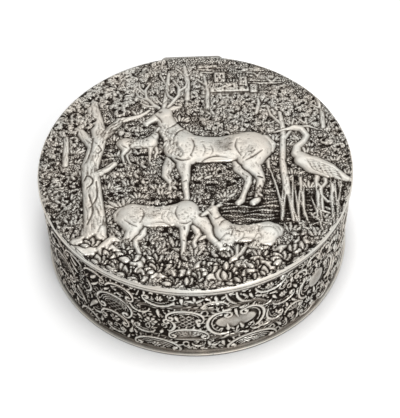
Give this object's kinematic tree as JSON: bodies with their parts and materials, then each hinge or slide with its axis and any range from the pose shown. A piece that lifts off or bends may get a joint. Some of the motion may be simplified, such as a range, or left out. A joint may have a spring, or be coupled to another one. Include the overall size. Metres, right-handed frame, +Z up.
{
  "type": "round box",
  "caption": "Low round silver box with straight ornamented sides and a flat embossed lid hinged at the back.",
  "frame": {"origin": "centre of the flat underside", "axes": "+Z up, the front of the box at -Y, the lid's hinge at +Y with its pin along X"},
  "size_m": [0.15, 0.1512, 0.0532],
  "materials": {
    "embossed_silver": "embossed, oxidised dark in the recesses and worn bright on the raised forms",
    "plain_silver": "plain drawn wire, worn to a soft shine",
    "gilt": "thin matt gilding over silver",
    "hinge_silver": "filed silver, tarnished in the joints",
    "pin_brass": "drawn wire, ends filed"
  },
  "bodies": {
    "box": {"base_plate": "gilt", "foot_wire": "plain_silver", "wall_strip": "embossed_silver", "mouth_wire": "plain_silver", "hinge_bearer_body": "hinge_silver", "hinge_knuckle_body_1": "hinge_silver", "hinge_knuckle_body_2": "hinge_silver", "hinge_knuckle_body_3": "hinge_silver", "hinge_pin": "pin_brass"},
    "lid": {"lid_rim": "plain_silver", "lid_plate": "embossed_silver", "lid_bezel": "gilt", "hinge_bearer_lid": "hinge_silver", "hinge_knuckle_lid_1": "hinge_silver", "hinge_knuckle_lid_2": "hinge_silver"}
  },
  "joints": [
    {"name": "lid_hinge", "type": "hinge", "parent": "box", "child": "lid", "pos_m": [0, 0.0752, 0.0498], "axis": [-1, 0, 0], "range_deg": [0, 105]}
  ]
}
